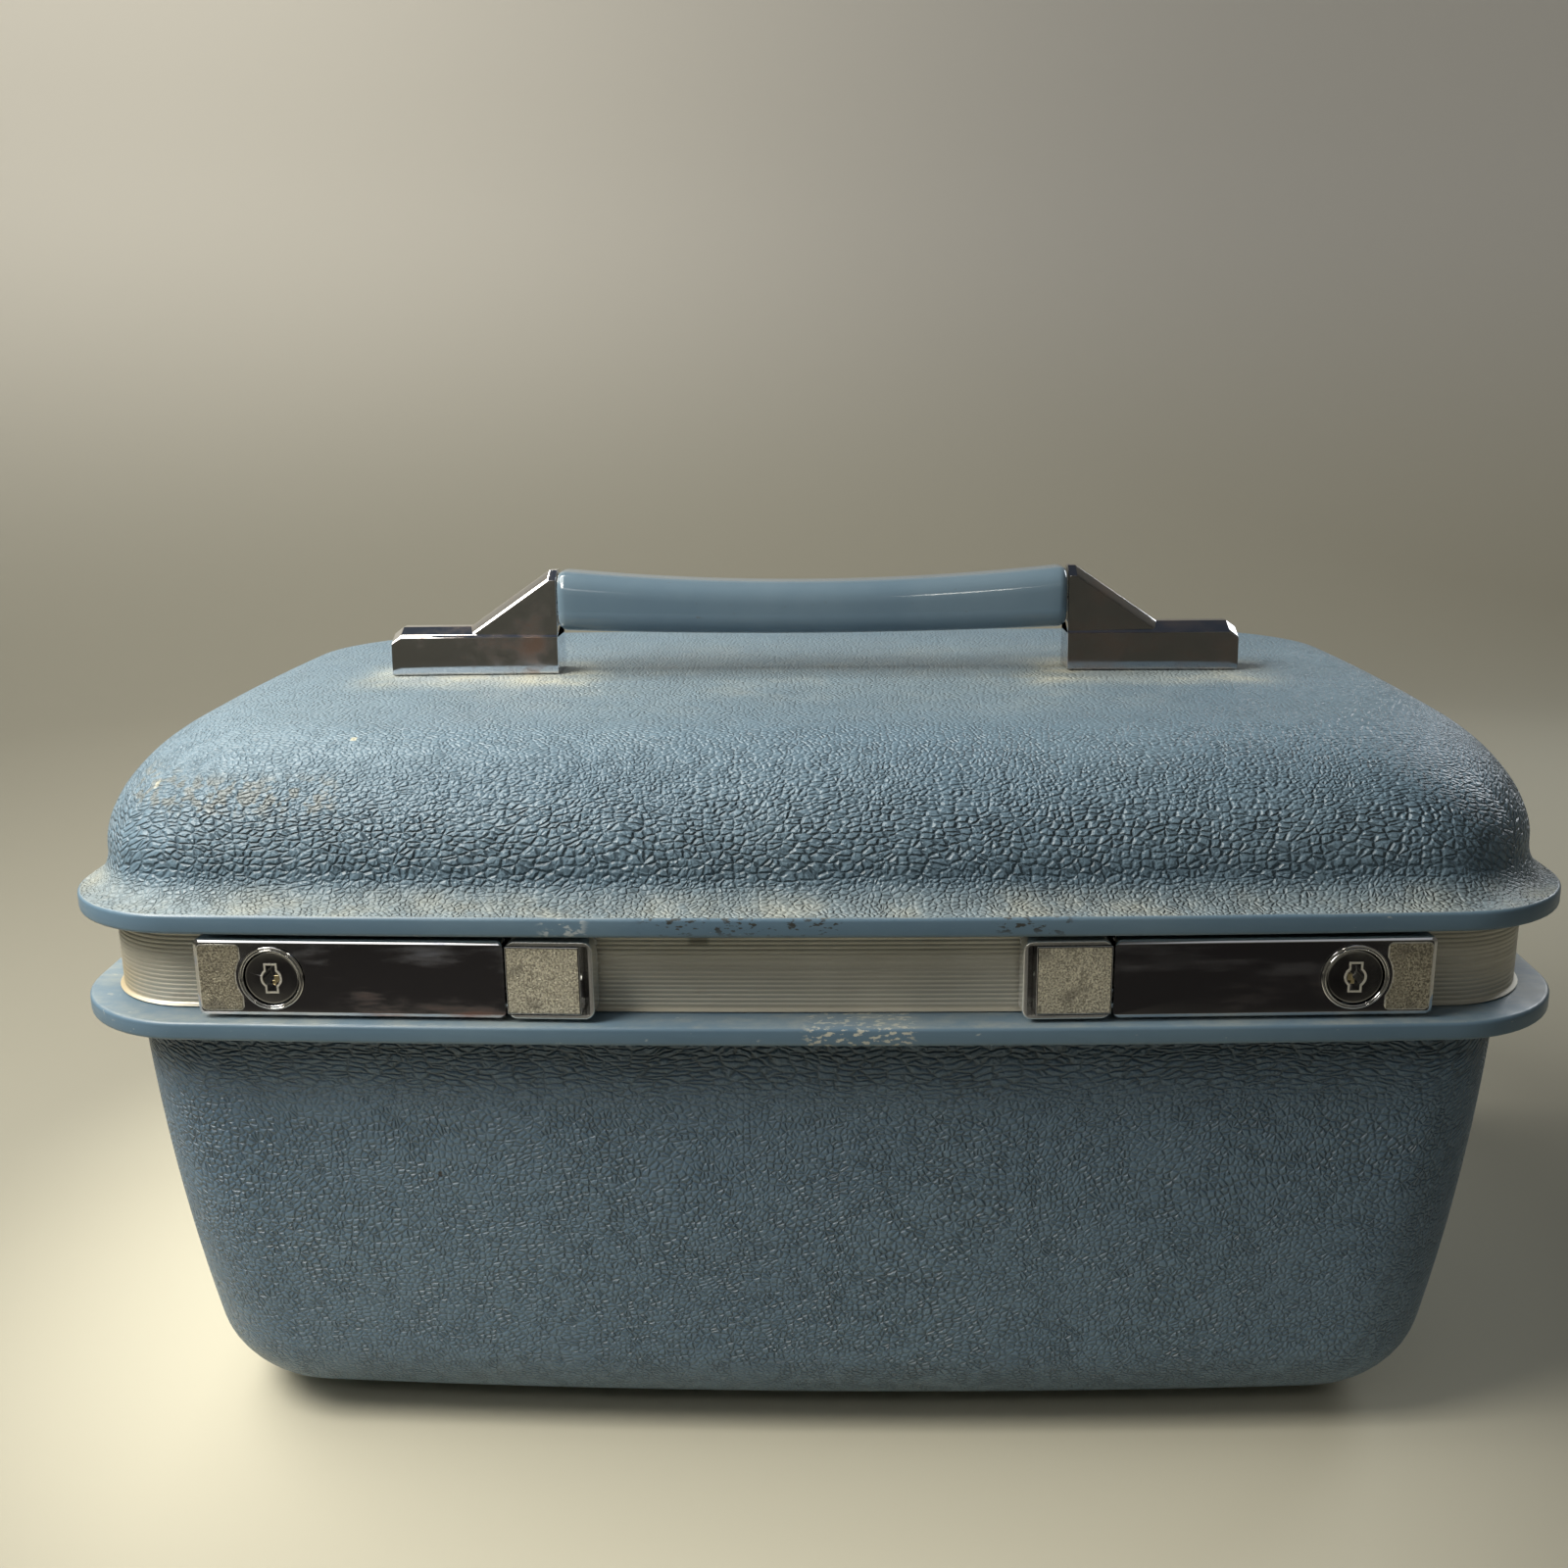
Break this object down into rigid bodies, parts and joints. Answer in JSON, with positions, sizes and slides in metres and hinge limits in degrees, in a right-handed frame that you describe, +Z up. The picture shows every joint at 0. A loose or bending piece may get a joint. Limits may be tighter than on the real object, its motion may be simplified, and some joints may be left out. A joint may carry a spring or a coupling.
{
  "type": "cosmetic case",
  "caption": "Hard-shell cosmetic case with a hinged lid, aluminium band, locking latches, fixed top handle, mirror, folding stay and lift-out tray.",
  "frame": {"origin": "middle of the case at the level its feet stand on", "axes": "+X to the right along the front, +Y to the back, +Z up"},
  "size_m": [0.35, 0.234, 0.2053],
  "materials": {
    "shell": "pebbled grain, satin",
    "grip": "gloss",
    "band": "satin, fine ribs along its length",
    "chrome": "mirror",
    "pewter": "sand texture",
    "steel": "zinc plated",
    "rivet": "dull",
    "rubber": "matt",
    "lining": "flocked",
    "mirror": "polished",
    "tray": "satin"
  },
  "bodies": {
    "case_body": {"body_shell": "shell", "body_frame": "band", "body_lining": "lining", "foot_front_left": "rubber", "foot_front_right": "rubber", "foot_rear_left": "rubber", "foot_rear_right": "rubber", "stay_body_stud": "steel", "latch_base_left": "chrome", "hasp_pin_left": "steel", "hasp_spring_left": "steel", "latch_rivet_left": "rivet", "hinge_body_leaf_left": "steel", "hinge_pin_left": "steel", "hinge_rivet_left_a": "rivet", "hinge_rivet_left_b": "rivet", "tray_ledge_left": "tray", "latch_base_right": "chrome", "hasp_pin_right": "steel", "hasp_spring_right": "steel", "latch_rivet_right": "rivet", "hinge_body_leaf_right": "steel", "hinge_pin_right": "steel", "hinge_rivet_right_a": "rivet", "hinge_rivet_right_b": "rivet", "tray_ledge_right": "tray"},
    "lid": {"lid_shell": "shell", "lid_frame": "band", "lid_lining": "lining", "lid_mirror": "mirror", "handle_grip": "grip", "handle_core": "steel", "stay_lid_stud": "steel", "handle_screw_left_outer": "steel", "handle_screw_left_inner": "steel", "handle_screw_right_inner": "steel", "handle_screw_right_outer": "steel", "striker_left": "steel", "hinge_lid_leaf_left": "steel", "hinge_screw_left": "steel", "handle_bracket_left": "chrome", "striker_right": "steel", "hinge_lid_leaf_right": "steel", "hinge_screw_right": "steel", "handle_bracket_right": "chrome"},
    "hasp_left": {"hasp_left": "chrome", "lock_ring_left": "chrome"},
    "key_left": {"key_plug_left": "chrome"},
    "button_left": {"release_button_left": "pewter", "button_spring_left": "steel"},
    "hasp_right": {"hasp_right": "chrome", "lock_ring_right": "chrome"},
    "key_right": {"key_plug_right": "chrome"},
    "button_right": {"release_button_right": "pewter", "button_spring_right": "steel"},
    "stay_lower": {"stay_lower_link": "steel", "stay_knee_rivet": "steel"},
    "stay_upper": {"stay_upper_link": "steel"},
    "tray": {"tray": "tray"}
  },
  "joints": [
    {"name": "lid_hinge", "type": "hinge", "parent": "case_body", "child": "lid", "pos_m": [0, 0.1118, 0.127], "axis": [-1, 0, 0], "range_deg": [0, 100]},
    {"name": "hasp_left_hinge", "type": "hinge", "parent": "case_body", "child": "hasp_left", "pos_m": [-0.09217, -0.11071, 0.1194], "axis": [0.9994, -0.0345, 0], "range_deg": [0, 70]},
    {"name": "key_left_turn", "type": "hinge", "parent": "hasp_left", "child": "key_left", "pos_m": [-0.11961, -0.11136, 0.1266], "axis": [-0.0345, -0.9994, 0], "range_deg": [0, 90]},
    {"name": "button_left_slide", "type": "slide", "parent": "case_body", "child": "button_left", "axis": [0.9994, -0.0345, 0], "range_m": [0, 0.0017], "stiffness_N_per_m": 800},
    {"name": "hasp_right_hinge", "type": "hinge", "parent": "case_body", "child": "hasp_right", "pos_m": [0.09217, -0.11071, 0.1194], "axis": [0.9994, 0.0345, 0], "range_deg": [0, 70]},
    {"name": "key_right_turn", "type": "hinge", "parent": "hasp_right", "child": "key_right", "pos_m": [0.11961, -0.11136, 0.1266], "axis": [0.0345, -0.9994, 0], "range_deg": [0, 90]},
    {"name": "button_right_slide", "type": "slide", "parent": "case_body", "child": "button_right", "axis": [-0.9994, -0.0345, 0], "range_m": [0, 0.0017], "stiffness_N_per_m": 800},
    {"name": "stay_lower_pivot", "type": "hinge", "parent": "case_body", "child": "stay_lower", "pos_m": [0.157, 0.06833, 0.11535], "axis": [-1, 0, 0], "range_deg": [0, 100]},
    {"name": "stay_upper_pivot", "type": "hinge", "parent": "lid", "child": "stay_upper", "pos_m": [0.1555, 0.06833, 0.13865], "axis": [-1, 0, 0], "range_deg": [-100, 0]},
    {"name": "tray_lift", "type": "slide", "parent": "case_body", "child": "tray", "axis": [0, 0, 1], "range_m": [0, 0.015]}
  ],
  "couplings": [
    {"joint": "stay_lower_pivot", "follows": "lid_hinge", "ratio": 1},
    {"joint": "stay_upper_pivot", "follows": "lid_hinge", "ratio": -1}
  ]
}
